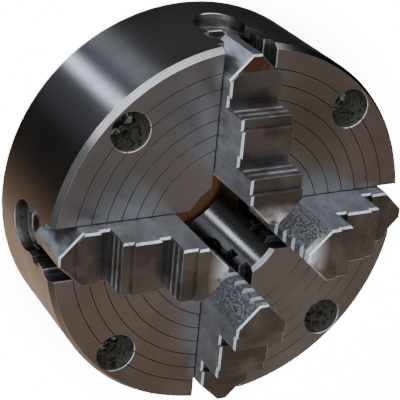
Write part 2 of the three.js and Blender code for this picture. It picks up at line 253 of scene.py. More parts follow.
def inset(outline, distance):
    """Moves each side of an anticlockwise outline inwards by a distance, with mitred corners."""
    before = outline - np.roll(outline, 1, axis=0)
    after = np.roll(outline, -1, axis=0) - outline
    before = before / np.linalg.norm(before, axis=1, keepdims=True)
    after = after / np.linalg.norm(after, axis=1, keepdims=True)
    normal_before = np.stack([-before[:, 1], before[:, 0]], axis=1)
    normal_after = np.stack([-after[:, 1], after[:, 0]], axis=1)
    spread = 1 + (normal_before * normal_after).sum(axis=1, keepdims=True)
    return outline + distance * (normal_before + normal_after) / spread


def points_of(mesh):
    points = np.empty(len(mesh.vertices) * 3)
    mesh.vertices.foreach_get("co", points)
    return points.reshape(-1, 3)


def set_points(mesh, points):
    mesh.vertices.foreach_set("co", points.ravel())
    mesh.update()


def move(piece, offset):
    set_points(piece.data, points_of(piece.data) + np.asarray(offset, float))
    return piece


def turn(piece, angle):
    """Turns a piece's points about the spindle axis."""
    points = points_of(piece.data)
    c, s = math.cos(angle), math.sin(angle)
    set_points(piece.data, points @ np.array([[c, s, 0], [-s, c, 0], [0, 0, 1]]))
    return piece


def turned_copy(piece, name, angle):
    """A copy of a piece, turned about the spindle axis."""
    copy = piece.copy()
    copy.data = piece.data.copy()
    copy.name = copy.data.name = name
    bpy.context.scene.collection.objects.link(copy)
    return turn(copy, angle)


def discard(pieces):
    for piece in pieces:
        mesh = piece.data
        bpy.data.objects.remove(piece)
        bpy.data.meshes.remove(mesh)


def shape_by(piece, tools, operation="DIFFERENCE"):
    """Cuts, joins or trims a piece by closed tools, and leaves plain mesh behind."""
    bench = bpy.data.collections.new("bench")
    for tool in tools:
        bench.objects.link(tool)
    step = piece.modifiers.new("shape", "BOOLEAN")
    step.operation = operation
    step.solver = "EXACT"
    step.operand_type = "COLLECTION"
    step.collection = bench
    view = bpy.context.evaluated_depsgraph_get()
    shaped = bpy.data.meshes.new_from_object(piece.evaluated_get(view))
    piece.modifiers.clear()
    rough, piece.data = piece.data, shaped
    name = rough.name
    bpy.data.meshes.remove(rough)
    shaped.name = name
    bpy.data.collections.remove(bench)
    discard(tools)
    if not len(shaped.polygons):
        raise RuntimeError(f"{piece.name} was cut away altogether")
    return piece


def finish_piece(piece, material, body, slot, *nodes, crease=28):
    """Smooths round surfaces up to a crease angle, then hands the piece to its body."""
    mesh = piece.data
    mesh.materials.clear()
    mesh.materials.append(material)
    mesh.polygons.foreach_set("material_index", np.zeros(len(mesh.polygons), int))
    mesh.polygons.foreach_set("use_smooth", np.ones(len(mesh.polygons), bool))
    mesh.set_sharp_from_angle(angle=math.radians(crease))
    mesh.update()
    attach(piece, body)
    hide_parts(*nodes)


def station_angle(number, offset=0.0):
    """Direction of a jaw's slot, or of a bolt with an offset of half a station."""
    return (number + offset) * 2 * math.pi / STATIONS


def finish_copies(first, title, node, finish, slot, body="chuck_body", offset=0.0, crease=28):
    """Copies a piece to every station, finishes each copy, and discards the first. Without a body
    to ride on, each copy rides on the body named after its own node."""
    for number in range(STATIONS):
        name = f"{node}_{number + 1}"
        piece = turned_copy(first, f"{title}_{name}", station_angle(number, offset))
        finish_piece(piece, finish_of(finish), body or name, slot, name, crease=crease)
    discard([first])


# ---------- materials ----------
def add(tree, kind, inputs=(), out=0, **settings):
    """Adds a shader node, sets it up, and fills or links its inputs, given in order or by name.
    Returns one of its outputs, or the node itself where out is None."""
    made = tree.nodes.new("ShaderNode" + kind)
    for key, value in settings.items():
        setattr(made, key, value)
    for key, value in inputs.items() if isinstance(inputs, dict) else enumerate(inputs):
        if isinstance(value, bpy.types.NodeSocket):
            tree.links.new(value, made.inputs[key])
        else:
            made.inputs[key].default_value = value
    return made if out is None else made.outputs[out]


def product(tree, first, *others):
    """Several values multiplied together; of masks, where they all apply."""
    for other in others:
        first = add(tree, "Math", (first, other), operation="MULTIPLY")
    return first


def layered(tree, base, *layers):
    """Lays colours over a base one after another, each as thick as its mask says."""
    for mask, code in layers:
        base = add(tree, "Mix", {0: mask, 6: base, 7: srgb(code)}, 2, data_type="RGBA")
    return base


def mottle(tree, place, size_mm, detail=3.0, rough=0.5, stretch=(1, 1, 1)):
    """A cloudy pattern from 0 to 1 whose largest features are about size_mm across."""
    per_metre = tuple(s / size_mm * 1000 for s in stretch)
    scaled = add(tree, "VectorMath", (place, per_metre), operation="MULTIPLY")
    inputs = {"Vector": scaled, "Scale": 1.0, "Detail": detail, "Roughness": rough}
    return add(tree, "TexNoise", inputs)


def edge_mask(tree, radius_mm):
    """How near a corner is: 0 on flat metal, towards 1 within about radius_mm of an edge."""
    rounded = add(tree, "Bevel", {"Radius": radius_mm * MM}, samples=6)
    flat = add(tree, "NewGeometry", out="Normal")
    same = add(tree, "VectorMath", (rounded, flat), "Value", operation="DOT_PRODUCT")
    return add(tree, "MapRange", (same, 0.995, 0.86))


def new_metal(name):
    """An empty metal finish: its material, node tree, a point on the metal, and a function that
    fills the shader's inputs, named with underscores for spaces."""
    material = bpy.data.materials.new(name)
    material.use_nodes = True
    tree = material.node_tree
    tree.nodes.clear()
    place = add(tree, "TexCoord", out="Object")

    def plug_in(**inputs):
        spaced = {key.replace("_", " "): value for key, value in inputs.items()}
        shader = add(tree, "BsdfPrincipled", {"Metallic": 1.0, **spaced})
        add(tree, "OutputMaterial", (shader,), None)

    return material, tree, place, plug_in


def axis_distance(tree, place):
    """Distance of a point from the spindle axis, and its height."""
    height = add(tree, "SeparateXYZ", (place,), 2)
    split = height.node.outputs
    flat = add(tree, "CombineXYZ", (split[0], split[1]))
    return add(tree, "VectorMath", (flat,), "Value", operation="LENGTH"), height


def turned_cast_steel():
    """Cast steel, turned on the face and ground on the rim, then left oiled. The tool marks run
    round the spindle axis, so highlights stretch across them, out along the radius on the face
    and along the axis on the rim. Old oil has dried to a warm film, the ring grooves are painted
    near black, the slots are dark with oil, and pale grit sticks to the grease in the bolt wells.
    The edges carry a painted pale highlight."""
    material, tree, place, plug_in = new_metal("turned_cast_steel")
    size = bpy.context.scene.chuck_body
    radius, height = axis_distance(tree, place)
    up = add(tree, "SeparateXYZ", (add(tree, "NewGeometry", out="Normal"),), 2)
    steep = add(tree, "Math", (up,), operation="ABSOLUTE")
    facing = add(tree, "MapRange", (steep, 0.5, 0.8))
    sideways = add(tree, "Math", (1.0, facing), operation="SUBTRACT")
    across = add(
        tree, "Math", (product(tree, radius, facing), product(tree, height, sideways)),
        operation="ADD",
    )
    # tool marks: a feed of about 0.25 mm a turn, drawn at 0.7 mm so that it shows
    lines = add(tree, "CombineXYZ", (product(tree, across, 1000.0),))
    marks = add(
        tree, "TexNoise", {"Vector": lines, "Scale": 1 / 0.7, "Detail": 2.0, "Roughness": 0.6}
    )
    # rings: 1 in a groove and 0 beside it
    half = size.ring_pitch / 2
    off = add(tree, "Math", (radius, size.ring_outer), operation="SUBTRACT")
    off = add(tree, "Math", (off, half, -half), operation="WRAP")
    off = add(tree, "Math", (off,), operation="ABSOLUTE")
    innermost = size.ring_outer - (size.ring_count - 0.5) * size.ring_pitch
    ring = product(
        tree,
        add(tree, "Math", (radius, innermost), operation="GREATER_THAN"),
        add(tree, "Math", (radius, size.ring_outer + half / 2), operation="LESS_THAN"),
        add(tree, "Math", (height, FACE_Z - 1.2 * MM), operation="GREATER_THAN"),
        add(tree, "MapRange", (off, 0.5 * MM, 0.2 * MM)),
    )
    # hollow: 1 down the wells, slots and pockets; the wells lie between the slots
    hollow = product(
        tree,
        add(tree, "Math", (height, FACE_Z - 1.5 * MM), operation="LESS_THAN"),
        add(tree, "Math", (radius, BODY_R - 3 * MM), operation="LESS_THAN"),
        add(tree, "Math", (radius, size.bore_radius + 1.5 * MM), operation="GREATER_THAN"),
    )
    side = add(tree, "VectorMath", (place,), operation="ABSOLUTE")
    side = add(tree, "SeparateXYZ", (side,))
    side = add(tree, "Math", (side, side.node.outputs[1]), operation="MINIMUM")
    well = product(tree, hollow, add(tree, "Math", (side, 40 * MM), operation="GREATER_THAN"))
    slot = add(tree, "Math", (hollow, well), operation="SUBTRACT")
    film = mottle(tree, place, 60, 4.0, 0.55)
    specks = mottle(tree, place, 1.6, 2.0, 0.5)
    clumps = mottle(tree, place, 3.6, 5.0, 0.7)
    grit = product(tree, well, add(tree, "MapRange", (clumps, 0.42, 0.6)))
    # clean: 1 off the ring grooves, where the painted edge highlight may lie
    clean = add(tree, "Math", (1.0, ring), operation="SUBTRACT")
    base = layered(
        tree, bpy.context.scene.chuck_finish.body_steel,
        (add(tree, "MapRange", (film, 0.35, 0.7)), "#827a72"),
        (add(tree, "MapRange", (marks, 0.3, 0.75, 0.0, 0.45)), "#5b5855"),
        (add(tree, "MapRange", (specks, 0.62, 0.74, 0.0, 0.4)), "#3a2f27"),
        # ring grooves painted near black
        (product(tree, ring, 0.75), "#1c1816"),
        (product(tree, slot, add(tree, "MapRange", (clumps, 0.4, 0.6, 0.35, 0.8))), "#484842"),
        (grit, "#5e5e50"),
        # near-white painted highlight along the edges, off the ring grooves
        (product(tree, edge_mask(tree, 0.7), clean, 0.6), "#dcdde0"),
    )
    rough = add(tree, "MapRange", (film, 0.3, 0.7, 0.21, 0.28))
    rough = add(tree, "Math", (rough, product(tree, facing, 0.11)), operation="ADD")
    rough = add(tree, "Math", (rough, product(tree, grit, 0.18)), operation="ADD")
    bump = add(tree, "Bump", {"Height": marks, "Strength": 0.12, "Distance": 0.00004})
    lumps = {"Height": product(tree, well, clumps), "Strength": 0.6, "Distance": 0.0008}
    plug_in(
        Base_Color=base, Roughness=rough, Anisotropic=0.8, Anisotropic_Rotation=0.25,
        Metallic=add(tree, "Math", (1.0, product(tree, grit, 0.035)), operation="SUBTRACT"),
        Tangent=add(tree, "Tangent", direction_type="RADIAL", axis="Z"),
        Normal=add(tree, "Bump", {**lumps, "Normal": bump}),
    )
    return material


def hardened_jaw_steel():
    """Case-hardened steel, ground flat on every face. Scratched sides painted lighter and cooler as a
    sheen, tops painted darker as shade, risers painted dark brown as shade, rust on one outer land,
    painted glints on the tips of jaws 1 to 3, and a painted highlight along the edges."""
    material, tree, place, plug_in = new_metal("hardened_jaw_steel")
    lines = mottle(tree, place, 1.1, 3.0, 0.6, stretch=(1, 1, 0.08))
    cloud = mottle(tree, place, 28, 4.0, 0.55)
    rust = mottle(tree, place, 14, 5.0, 0.65)
    chips = mottle(tree, place, 3.2, 5.0, 0.72)
    smear = mottle(tree, place, 7.0, 6.0, 0.65, stretch=(1, 1, 0.45))
    glint_cloud = mottle(tree, place, 16, 6.0, 0.6)
    radius, height = axis_distance(tree, place)
    # risers: faces that look outwards; their grooves' flanks count too, except near the outer end
    normal = add(tree, "NewGeometry", out="Normal")
    out = add(tree, "VectorMath", (place, (1, 1, 0)), operation="MULTIPLY")
    out = add(tree, "VectorMath", (out,), operation="NORMALIZE")
    outwards = add(tree, "VectorMath", (normal, out), "Value", operation="DOT_PRODUCT")
    inner = product(
        tree, add(tree, "MapRange", (outwards, 0.35, 0.6)),
        add(tree, "Math", (radius, JAW_HIGH.x - 16 * MM), operation="LESS_THAN"),
    )
    outer = product(
        tree, add(tree, "MapRange", (outwards, 0.92, 0.97)),
        add(tree, "Math", (radius, JAW_HIGH.x - 5 * MM), operation="LESS_THAN"),
    )
    riser = add(tree, "Math", (inner, outer), operation="MAXIMUM")
    top = add(tree, "MapRange", (add(tree, "SeparateXYZ", (normal,), 2), 0.7, 0.95))
    # tips: painted glints on top of the noses, except on jaw 4
    tip = product(
        tree,
        add(tree, "MapRange", (radius, 43 * MM, 31 * MM)),
        add(tree, "MapRange", (glint_cloud, 0.38, 0.54)),
        add(tree, "Math", (height, JAW_HIGH.z - 6 * MM), operation="GREATER_THAN"),
        add(tree, "Math", (add(tree, "SeparateXYZ", (place,), 1), -15 * MM), operation="GREATER_THAN"),
    )
    from_land = add(tree, "VectorMath", (place, RUSTY_LAND), "Value", operation="DISTANCE")
    land = product(
        tree,
        add(tree, "MapRange", (from_land, 15 * MM, 8 * MM)),
        add(tree, "MapRange", (rust, 0.3, 0.5, 0.5, 1.0)),
        add(tree, "Math", (height, RUSTY_LAND[2] + MM), operation="LESS_THAN"),
        top,
    )
    # scuffs and painted sheen: near-white pitted patches near the nose and smears elsewhere on the sides,
    # partly scratches and partly a painted cool reflection
    pitted = add(tree, "MapRange", (mottle(tree, place, 1.8, 4.0, 0.7), 0.44, 0.6, 0.0, 0.7))
    near = product(tree, add(tree, "MapRange", (radius, 54 * MM, 42 * MM)), pitted)
    smeared = add(tree, "MapRange", (smear, 0.4, 0.7, 0.0, 0.35))
    scuff_and_sheen = product(
        tree,
        add(tree, "Math", (1.0, top), operation="SUBTRACT"),
        add(tree, "Math", (1.0, riser), operation="SUBTRACT"),
        add(tree, "Math", (near, smeared), operation="MAXIMUM"),
    )
    # shine: how strongly the edges are painted with a pale highlight, none on the risers
    shine = add(tree, "Math", (0.25, product(tree, riser, 0.25)), operation="SUBTRACT")
    base = layered(
        tree, bpy.context.scene.chuck_finish.jaw_steel,
        (add(tree, "MapRange", (cloud, 0.35, 0.7)), "#858180"),
        (add(tree, "MapRange", (lines, 0.35, 0.7, 0.0, 0.3)), "#6a6866"),
        # tops painted darker as shade
        (product(tree, top, add(tree, "MapRange", (cloud, 0.4, 0.6, 0.6, 0.95))), "#5f5b57"),
        # risers painted dark brown as shade, mottled by the rust cloud
        (product(tree, riser, add(tree, "MapRange", (rust, 0.35, 0.6, 0.6, 0.9))), "#3a312b"),
        (add(tree, "MapRange", (rust, 0.60, 0.72, 0.0, 0.5)), "#6b4a35"),
        # near-white cool colour on the sides: scratches, and a painted sheen and reflection
        (scuff_and_sheen, "#dfe2e6"),
        (land, "#4f3428"),
        # painted near-white glints on the tips
        (tip, "#e6e4e2"),
        # painted pale highlight along the edges
        (product(tree, edge_mask(tree, 0.6), shine), "#eceef1"),
    )
    rough = add(tree, "MapRange", (cloud, 0.3, 0.7, 0.26, 0.36))
    for mask, rise in ((tip, 0.3), (lines, 0.1), (scuff_and_sheen, 0.2), (riser, 0.15)):
        rough = add(tree, "Math", (rough, product(tree, mask, rise)), operation="ADD")
    bump = add(tree, "Bump", {"Height": lines, "Strength": 0.25, "Distance": 0.00006})
    # bumps under the painted tip glints and the scuffs
    glint_and_scuff_bump = product(tree, add(tree, "Math", (tip, scuff_and_sheen), operation="ADD"), chips)
    glint_and_scuff_bump = {"Height": glint_and_scuff_bump, "Strength": 0.5, "Distance": 0.0005}
    plug_in(
        Base_Color=base, Roughness=rough,
        Metallic=add(tree, "Math", (1.0, product(tree, land, 0.02)), operation="SUBTRACT"),
        Normal=add(tree, "Bump", {**glint_and_scuff_bump, "Normal": bump}),
    )
    return material


def oiled_screw_steel():
    """Machined alloy steel, dark with old oil, rusted brown in its key socket."""
    material, tree, place, plug_in = new_metal("oiled_screw_steel")
    cloud = mottle(tree, place, 9, 5.0, 0.6)
    grit = mottle(tree, place, 1.2, 3.0, 0.6)
    plug_in(
        Base_Color=layered(
            tree, bpy.context.scene.chuck_finish.screw_steel,
            (add(tree, "MapRange", (cloud, 0.35, 0.65)), "#74503c"),
            (add(tree, "MapRange", (grit, 0.5, 0.7, 0.0, 0.5)), "#3c3632"),
            # painted pale highlight along the edges
            (edge_mask(tree, 0.6), "#c9c8c8"),
        ),
        Roughness=add(tree, "MapRange", (cloud, 0.3, 0.7, 0.34, 0.55)),
        Normal=add(tree, "Bump", {"Height": grit, "Strength": 0.5, "Distance": 0.0002}),
    )
    return material


def machined_block_steel():
    """Plain machined steel for the plugs under the screws: even fine turning, a dull sheen."""
    material, tree, place, plug_in = new_metal("machined_block_steel")
    cloud = mottle(tree, place, 12, 4.0, 0.55)
    grain = mottle(tree, place, 0.9, 2.0, 0.5)
    plug_in(
        Base_Color=layered(
            tree, bpy.context.scene.chuck_finish.block_steel,
            (add(tree, "MapRange", (cloud, 0.35, 0.65)), "#6f675f"),
        ),
        Roughness=add(tree, "MapRange", (cloud, 0.3, 0.7, 0.36, 0.5)),
        Normal=add(tree, "Bump", {"Height": grain, "Strength": 0.12, "Distance": 0.00005}),
    )
    return material


def black_oxide_steel():
    """Blackened alloy steel of cap screws: a thin oxide worn grey on its corners, lightened further
    there as a painted highlight, with pale grit and oil lying on top."""
    material, tree, place, plug_in = new_metal("black_oxide_steel")
    cloud = mottle(tree, place, 6, 4.0, 0.6)
    grit = add(tree, "MapRange", (mottle(tree, place, 3.5, 5.0, 0.7), 0.46, 0.6))
    plug_in(
        Base_Color=layered(
            tree, bpy.context.scene.chuck_finish.black_oxide,
            (add(tree, "MapRange", (cloud, 0.35, 0.7)), "#4a443d"),
            (grit, "#6c6b5e"),
            # corners worn grey and painted lighter still as a highlight
            (edge_mask(tree, 0.5), "#a3a19d"),
        ),
        Roughness=add(tree, "MapRange", (cloud, 0.3, 0.7, 0.3, 0.46)),
        Metallic=add(tree, "Math", (1.0, product(tree, grit, 0.05)), operation="SUBTRACT"),
        Normal=add(tree, "Bump", {"Height": grit, "Strength": 0.5, "Distance": 0.0005}),
    )
    return material


MATERIALS = {}


def finish_of(make):
    """Each finish is made once and shared."""
    if make.__name__ not in MATERIALS:
        MATERIALS[make.__name__] = make()
    return MATERIALS[make.__name__]


# ---------- body ----------
def body_profile(size):
    """The body's turned outline as (radius, height), once round the section, anticlockwise."""
    rings = []
    for number in reversed(range(size.ring_count)):
        middle = size.ring_outer - number * size.ring_pitch
        rings += [
            (middle - size.ring_width / 2, FACE_Z),
            (middle - size.ring_width / 8, FACE_Z - size.ring_depth),
            (middle + size.ring_width / 8, FACE_Z - size.ring_depth),
            (middle + size.ring_width / 2, FACE_Z),
        ]
    return [
        (size.bore_radius, size.register_depth + size.bore_back_chamfer),
        (size.bore_radius, FACE_Z - size.bore_front_chamfer),
        (size.bore_radius + size.bore_front_chamfer, FACE_Z),
        *rings,
        (BODY_R - size.rim_chamfer_face, FACE_Z),
        (BODY_R, FACE_Z - size.rim_chamfer_side),
        (BODY_R, size.back_chamfer),
        (BODY_R - size.back_chamfer, 0.0),
        (size.register_radius + size.edge_break, 0.0),
        (size.register_radius, size.edge_break),
        (size.register_radius, size.register_depth),
        (size.bore_radius + size.bore_back_chamfer, size.register_depth),
    ]


def slot_section(size):
    """The slot seen end on as (across, height): a bevelled mouth, rails, an undercut, and a
    channel that runs into the round screw bore below it."""
    rail_top = FACE_Z - size.mouth_depth
    rail_low = rail_top - size.rail_height
    floor = rail_low - size.undercut_height
    wide, narrow, edge = size.slot_half, size.slot_half - size.rail_width, size.edge_break
    meet = math.asin(size.channel_half / size.screw_bore)
    arc = np.linspace(meet, 2 * math.pi - meet, 49)
    bore = np.stack([size.screw_bore * np.sin(arc), SCREW_Z + size.screw_bore * np.cos(arc)], 1)
    right = np.array([
        (wide + edge + OVER, FACE_Z + OVER), (wide, FACE_Z - edge), (wide, rail_top),
        (narrow + edge, rail_top), (narrow, rail_top - edge), (narrow, rail_low + edge),
        (narrow + edge, rail_low), (wide, rail_low), (wide, floor), (size.channel_half, floor),
    ])
    left = right[::-1] * (-1, 1)
    return np.concatenate([right, bore, left])


def pin_seat():
    """The hole that a lock screw sits in, half in the body and half in the thrust block."""
    depth = PIN_HIGH.z + PLAY
    return move(turned("pin_seat", [(PIN_R + PLAY, -OVER), (PIN_R + PLAY, depth)], 32), PIN_PLACE)


def body_tools(size):
    """The cutting shapes for the slots, pockets, plug seats and bolt holes."""
    section = slot_section(size)
    slot_start = size.bore_radius - 13 * MM  # well inside the bore
    flare = size.pocket_radius + size.edge_break
    pocket = [
        (size.pocket_radius, BODY_R - size.pocket_depth),
        (size.pocket_radius, BODY_R - size.edge_break),
        (flare + OVER, BODY_R + OVER),
    ]
    plug_r, plug_lip = PLUG_R + 0.25 * MM, 0.4 * MM
    plug_seat = [
        (plug_r + OVER + plug_lip, -OVER), (plug_r + plug_lip, size.register_depth),
        (plug_r, size.register_depth + plug_lip), (plug_r, SCREW_Z),
    ]
    head_seat, shank_lip = BOLT_HIGH.z - 16.3 * MM, 0.6 * MM  # the seat is just under the head
    bolt_hole = [
        (size.shank_radius + shank_lip + OVER, -OVER),
        (size.shank_radius, shank_lip),
        (size.shank_radius, head_seat),
        (size.well_radius, head_seat),
        (size.well_radius, FACE_Z - size.edge_break),
        (size.well_radius + size.edge_break + OVER, FACE_Z + OVER),
    ]
    tools = []
    for number in range(STATIONS):
        angle = station_angle(number)
        tools += [
            turn(prism("slot", section, slot_start, BODY_R + OVER, 0), angle),
            turn(rod_x("pocket", pocket, 96), angle),
            turn(move(turned("plug_seat", plug_seat, 96), (NECK_X, 0, 0)), angle),
            turn(pin_seat(), angle),
            turn(move(turned("bolt_hole", bolt_hole, 96), BOLT_PLACE), station_angle(number, 0.5)),
        ]
    return tools


class CHUCK_OT_body(bpy.types.Operator):
    """Turn the body, then mill its slots and bore its holes"""

    bl_idname = "chuck.body"
    bl_label = "Body"

    def execute(self, context):
        size = context.scene.chuck_body
        body = turned("body_turned", body_profile(size), 360, ring=True)
        shape_by(body, body_tools(size))
        finish_piece(body, finish_of(turned_cast_steel), "chuck_body", "body_steel", "chuck_body",
                     crease=24)
        return {"FINISHED"}


# ---------- jaws ----------
def jaw_outline(jaw):
    """The jaw's side view as (radius, height), anticlockwise from the foot of the inner nose."""
    top = JAW_HIGH.z
    middle, low = FACE_Z + jaw.middle_height, FACE_Z + jaw.low_height
    inner_riser = JAW_LOW.x + jaw.top_length
    outer_riser = inner_riser + jaw.middle_length
    soft = 0.25 * MM  # how far each step's corner is eased
    foot = SCREW_Z + SCREW_R + jaw.slide_gap
    return np.array([
        (JAW_LOW.x, foot),
        (JAW_HIGH.x, foot),
        (JAW_HIGH.x, low - jaw.land_drop),
        (JAW_HIGH.x - jaw.low_land, low - jaw.land_drop),
        (JAW_HIGH.x - jaw.low_land - soft, low),
        (outer_riser + jaw.groove_width, low),
        (outer_riser + jaw.groove_width - soft, low - jaw.groove_drop),
        (outer_riser, low - jaw.groove_drop),
        (outer_riser, middle - jaw.land_drop - soft),
        (outer_riser - soft, middle - jaw.land_drop),
        (outer_riser - jaw.middle_land, middle - jaw.land_drop),
        (outer_riser - jaw.middle_land - soft, middle),
        (inner_riser + jaw.groove_width, middle),
        (inner_riser + jaw.groove_width - soft, middle - jaw.groove_drop),
        (inner_riser, middle - jaw.groove_drop),
        (inner_riser, top - jaw.land_drop - soft),
        (inner_riser - soft, top - jaw.land_drop),
        (inner_riser - jaw.top_land, top - jaw.land_drop),
        (inner_riser - jaw.top_land - soft, top),
        (JAW_LOW.x, top),
    ])


def jaw_blank(jaw):
    """The side view carried across the jaw, its sides bevelled all round."""
    half = (JAW_HIGH.y - JAW_LOW.y) / 2
    full = jaw_outline(jaw)
    trimmed = inset(full, jaw.side_bevel)
    across = [(-half, trimmed), (-half + jaw.side_bevel, full), (half - jaw.side_bevel, full),
              (half, trimmed)]
    return grid_object("jaw_blank", np.stack([np.insert(line, 1, y, axis=1) for y, line in across]))


def jaw_plan(jaw):
    """The pointed plan carried upwards, drawn in at the top edge of each nose."""
    half = (JAW_HIGH.y - JAW_LOW.y) / 2 + OVER
    nose, bevel = jaw.nose_flat / 2, 1.1 * MM
    foot, top = SCREW_Z, JAW_HIGH.z
    low_land = FACE_Z + jaw.low_height - jaw.land_drop

    def level(z, tip_in, out_in):
        tip, out = JAW_LOW.x + tip_in, JAW_HIGH.x - out_in
        reach = half - nose
        shape = [
            (tip, -nose), (tip + reach, -half), (out - reach, -half), (out, -nose),
            (out, nose), (out - reach, half), (tip + reach, half), (tip, nose),
        ]
        return [(x, y, z) for x, y in shape]

    rows = [
        level(foot, 0, 0), level(low_land - bevel, 0, 0), level(low_land, 0, bevel),
        level(top - bevel, 0, bevel), level(top, bevel, bevel), level(top + OVER, bevel, bevel),
    ]
    return grid_object("jaw_plan", np.array(rows))


def jaw_tools(jaw, body):
    """Side grooves that ride the rails, and the gripping grooves on the risers and nose."""
    half = body.slot_half
    web = half - body.rail_width - jaw.slide_gap
    high = FACE_Z - body.mouth_depth + jaw.slide_gap
    low = high - body.rail_height - 2 * jaw.slide_gap
    edge = 0.4 * MM
    groove = np.array([
        (web, low), (half - edge, low), (half + OVER, low - edge - OVER),
        (half + OVER, high + edge + OVER), (half - edge, high), (web, high),
    ])
    tools = [
        prism("side_groove", groove, 0.0, JAW_HIGH.x + OVER, 0),
        prism("side_groove", groove * (-1, 1), 0.0, JAW_HIGH.x + OVER, 0),
    ]

    def bite(name, x, z, depth, wide, narrow):
        """A trapezium sunk a depth into a face at x, wide at its mouth and narrow at its floor."""
        mouth = x - math.copysign(MM, depth)
        section = [(mouth, z + wide), (x + depth, z + narrow), (x + depth, z - narrow), (mouth, z - wide)]
        return prism(name, section, -half, half, 1)

    inner_riser = JAW_LOW.x + jaw.top_length
    outer_riser = inner_riser + jaw.middle_length
    step_tops = {inner_riser: JAW_HIGH.z, outer_riser: FACE_Z + jaw.middle_height}
    lip, first = 2.4 * MM, 0.9  # the first groove lies 0.9 of a pitch below the edge
    for x, top in step_tops.items():
        for number in range(2):
            z = top - jaw.land_drop - (number + first) * jaw.tooth_pitch
            tools.append(bite("tooth", x, z, -jaw.tooth_depth, lip, lip / 3))
    for number in range(4):
        z = JAW_HIGH.z - (number + first) * jaw.nose_tooth_pitch
        tools.append(bite("nose_tooth", JAW_LOW.x, z, jaw.nose_tooth_depth, 2.6 * MM, 0.8 * MM))
    return tools


def half_nut(jaw):
    """The block under the jaw that the screw drives."""
    floor = SCREW_Z + SCREW_R
    half, low, edge = jaw.nut_half, floor - jaw.nut_drop, 0.5 * MM
    joined = floor + 2 * MM  # runs up into the jaw
    shape = [
        (-half, low + edge), (-half + edge, low), (half - edge, low), (half, low + edge),
        (half, joined), (-half, joined),
    ]
    return prism("half_nut", shape, JAW_LOW.x + jaw.nut_end, JAW_HIGH.x - jaw.nut_end, 0)


class CHUCK_OT_jaws(bpy.types.Operator):
    """Grind one stepped jaw and copy it to each slot"""

    bl_idname = "chuck.jaws"
    bl_label = "Jaws"

    def execute(self, context):
        scene = context.scene
        jaw, body, screw = scene.chuck_jaw, scene.chuck_body, scene.chuck_screw
        first = jaw_blank(jaw)
        shape_by(first, [jaw_plan(jaw)], "INTERSECT")
        shape_by(first, [half_nut(jaw)], "UNION")
        shape_by(first, jaw_tools(jaw, body) + [thread_tap(screw)])
        finish_copies(first, "stepped", "jaw", hardened_jaw_steel, "jaw_steel", body=None)
        return {"FINISHED"}


# ---------- screws ----------
def thread_radius(along, angle, screw, room):
    """Radius of the left-hand thread at a distance along and an angle round the axis: the
    distance to the nearest ridge sets how far down the sloping flank the surface lies."""
    turns = (along - NECK_X) / screw.lead - angle / (2 * np.pi)
    from_ridge = np.abs(turns - np.round(turns)) * screw.lead
    middle = SCREW_R - screw.thread_depth / 2
    ridge_half = (screw.lead / 2 - screw.thread_play) / 2 + room
    slope = math.tan(math.radians(15))
    radius = middle + (ridge_half - from_ridge) / slope
    return np.clip(radius, SCREW_R - screw.thread_depth + room, SCREW_R + room)


def thread_tap(screw):
    """A threaded rod a little fatter than the screw, for tapping the half nut."""
    along = np.arange(JAW_LOW.x, JAW_HIGH.x, 0.5 * MM)[:, None]
    angle = angles(72)
    return grid_object("tap", rod_grid(along, thread_radius(along, angle, screw, 0.6 * MM), angle))


def polygon_radius(angle, sides, apothem):
    """Distance from the centre to the side of a regular polygon at an angle."""
    sector = 2 * np.pi / sides
    return apothem / np.cos((angle + sector / 2) % sector - sector / 2)


def screw_grid(screw):
    """One closed skin: inner end, thread, neck, thread, outer end, then down the key socket."""
    angle = angles(96)
    low, high = SCREW_LOW.x, SCREW_HIGH.x
    neck_in = NECK_X - screw.neck_length / 2
    neck_out = NECK_X + screw.neck_length / 2
    end_r = SCREW_R - screw.thread_depth

    def thread_rows(start, stop):
        along = np.linspace(start, stop, int((stop - start) / (0.35 * MM)))[:, None]
        radius = thread_radius(along, angle, screw, 0.0)
        near = np.minimum(along - low, high - along)
        end_limit = SCREW_R - screw.end_chamfer + np.maximum(near, 0)
        return rod_grid(along, np.minimum(radius, end_limit), angle)

    def ring(along, radius):
        return rod_grid(np.array([[along]]), np.atleast_2d(radius), angle[None])

    square = polygon_radius(angle, 4, screw.socket_half)
    square = np.minimum(square, screw.socket_half * 1.33)  # its corners are rounded
    lip = 0.5 * MM
    floor = high - screw.socket_depth
    return np.concatenate([
        ring(low, 2 * MM), ring(low, end_r - screw.end_chamfer), thread_rows(low, neck_in),
        ring(neck_in, screw.neck_radius), ring(neck_out, screw.neck_radius),
        thread_rows(neck_out, high), ring(high, end_r - 0.4 * MM), ring(high, square + lip),
        ring(high - lip, square), ring(floor, square), ring(floor, square * 0.7),
        ring(floor - 3 * MM, 0.5 * MM + 0 * square),
    ])


class CHUCK_OT_screws(bpy.types.Operator):
    """Cut one jaw screw and copy it under each jaw"""

    bl_idname = "chuck.screws"
    bl_label = "Jaw screws"

    def execute(self, context):
        first = grid_object("screw", screw_grid(context.scene.chuck_screw))
        finish_copies(first, "threaded", "jaw_screw", oiled_screw_steel, "screw_steel", body=None,
                      crease=38)
        return {"FINISHED"}


# ---------- bolts, thrust blocks and lock screws ----------
def upright_rings(rings, angle):
    """Stacks (radius, height) rings into a grid; a radius may vary round its ring."""
    return np.stack([upright_grid(radius, height, angle) for radius, height in rings])


